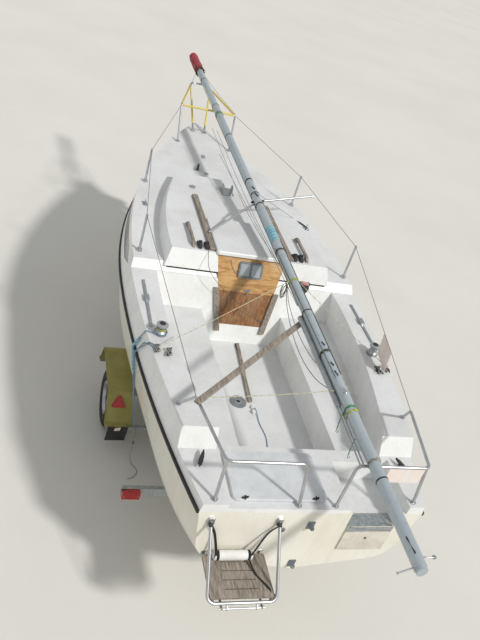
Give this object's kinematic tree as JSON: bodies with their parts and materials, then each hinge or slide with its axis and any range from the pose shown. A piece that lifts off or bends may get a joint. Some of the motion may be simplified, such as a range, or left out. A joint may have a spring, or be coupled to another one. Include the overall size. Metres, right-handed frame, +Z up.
{
  "type": "sailing yacht on a road trailer",
  "caption": "Trailer sailer with its mast lowered fore and aft over cabin and cockpit, raised keel, rails and swim platform, on a braked road trailer with jockey wheel.",
  "frame": {"origin": "on the ground under the middle of the load's box", "axes": "+X starboard, +Y forward to the bow, +Z up"},
  "size_m": [2.56, 8.4588, 2.499],
  "materials": {
    "gelcoat": "glossy, slightly chalked gelcoat",
    "deckgelcoat": "satin gelcoat with non-slip panels",
    "black_rubber": "satin",
    "tinted_window": "tinted, glossy",
    "painted_iron": "painted, dull",
    "berth_board": "varnished plywood",
    "plywood": "varnished plywood, weathered",
    "dark_plywood": "varnished, weathered",
    "grey_teak": "weathered teak",
    "grey_plastic": "matt",
    "pale_pane": "frosted",
    "stainless": "polished",
    "mast_aluminium": "anodised, weathered",
    "alloy": "satin",
    "black_nylon": "matt",
    "black_rope_gear": "matt",
    "wire": "laid wire",
    "grey_nonslip": "rough",
    "pad_grey": "ribbed",
    "white_padding": "coated cloth",
    "red_cloth": "woven cloth",
    "pale_board": "faded",
    "galvanised": "hot-dip galvanised",
    "tyre": "worn",
    "olive_plastic": "faded moulded plastic",
    "red_lens": "moulded lens"
  },
  "bodies": {
    "root": {"axle": "galvanised", "blank_signs": "pale_board", "boom": "alloy", "bow_stop": "black_rubber", "cabin_berths": "berth_board", "chainplates": "stainless", "compass": "black_nylon", "coupling_head": "galvanised", "cross_prop": "grey_teak", "deck": "deckgelcoat", "deck_cleats": "black_nylon", "deck_fittings": "stainless", "door_rails": "grey_teak", "genoa_tracks": "alloy", "grab_rails": "grey_teak", "gudgeons": "stainless", "hatch_runners": "grey_teak", "hull": "gelcoat", "keel_rollers": "black_rubber", "keel_stub": "painted_iron", "lifelines": "wire", "mast": "mast_aluminium", "mast_step": "stainless", "masthead_cover": "red_cloth", "motor_pad": "pad_grey", "mudguards": "olive_plastic", "padded_roll": "white_padding", "platform_board": "grey_teak", "platform_frame": "stainless", "pulpit": "stainless", "pushpit_port": "stainless", "pushpit_starboard": "stainless", "rear_lamps": "red_lens", "rope_clutches": "black_rope_gear", "rubbing_strake": "black_rubber", "side_pads": "black_rubber", "side_windows": "tinted_window", "sole_plate": "grey_plastic", "spreaders": "alloy", "stanchions": "stainless", "stay_bundle": "wire", "trailer_frame": "galvanised", "vent_frame": "grey_plastic", "vent_panes": "pale_pane", "washboard_lower": "dark_plywood", "washboard_upper": "plywood", "winch_bases": "alloy", "winch_post": "galvanised"},
    "wheel_left": {"wheel_left": "alloy", "tyre_left": "tyre"},
    "wheel_right": {"wheel_right": "alloy", "tyre_right": "tyre"},
    "jockey_swivel": {"jockey_leg": "galvanised"},
    "jockey_roll": {"jockey_wheel": "black_rubber"},
    "hatch": {"sliding_hatch": "deckgelcoat"},
    "locker": {"locker_lid": "grey_nonslip"},
    "ladder": {"boarding_ladder": "stainless"},
    "winch_port": {"winch_drum_port": "stainless"},
    "winch_starboard": {"winch_drum_starboard": "stainless"}
  },
  "joints": [
    {"name": "wheel_left_spin", "type": "hinge", "parent": "root", "child": "wheel_left", "pos_m": [-1.155, -1.08, 0.3], "axis": [1, 0, 0], "continuous": true},
    {"name": "wheel_right_spin", "type": "hinge", "parent": "root", "child": "wheel_right", "pos_m": [1.155, -1.08, 0.3], "axis": [1, 0, 0], "continuous": true},
    {"name": "jockey_swivel", "type": "hinge", "parent": "root", "child": "jockey_swivel", "pos_m": [0.095, 3.52, 0.39], "axis": [0, 0, 1], "continuous": true},
    {"name": "jockey_roll", "type": "hinge", "parent": "jockey_swivel", "child": "jockey_roll", "pos_m": [0.095, 3.48, 0.1], "axis": [1, 0, 0], "continuous": true},
    {"name": "hatch_slide", "type": "slide", "parent": "root", "child": "hatch", "axis": [0, 1, 0], "range_m": [0, 0.5]},
    {"name": "locker_hinge", "type": "hinge", "parent": "root", "child": "locker", "pos_m": [-0.2775, -2.895, 1.4903], "axis": [-1, 0, 0], "range_deg": [0, 85]},
    {"name": "ladder_hinge", "type": "hinge", "parent": "root", "child": "ladder", "pos_m": [-0.5275, -3.854, 0.94], "axis": [-1, 0, 0], "range_deg": [0, 90]},
    {"name": "winch_port_spin", "type": "hinge", "parent": "root", "child": "winch_port", "pos_m": [-1.025, -1.74, 1.74], "axis": [0, 0, 1], "continuous": true},
    {"name": "winch_starboard_spin", "type": "hinge", "parent": "root", "child": "winch_starboard", "pos_m": [1.025, -1.74, 1.74], "axis": [0, 0, 1], "continuous": true}
  ]
}
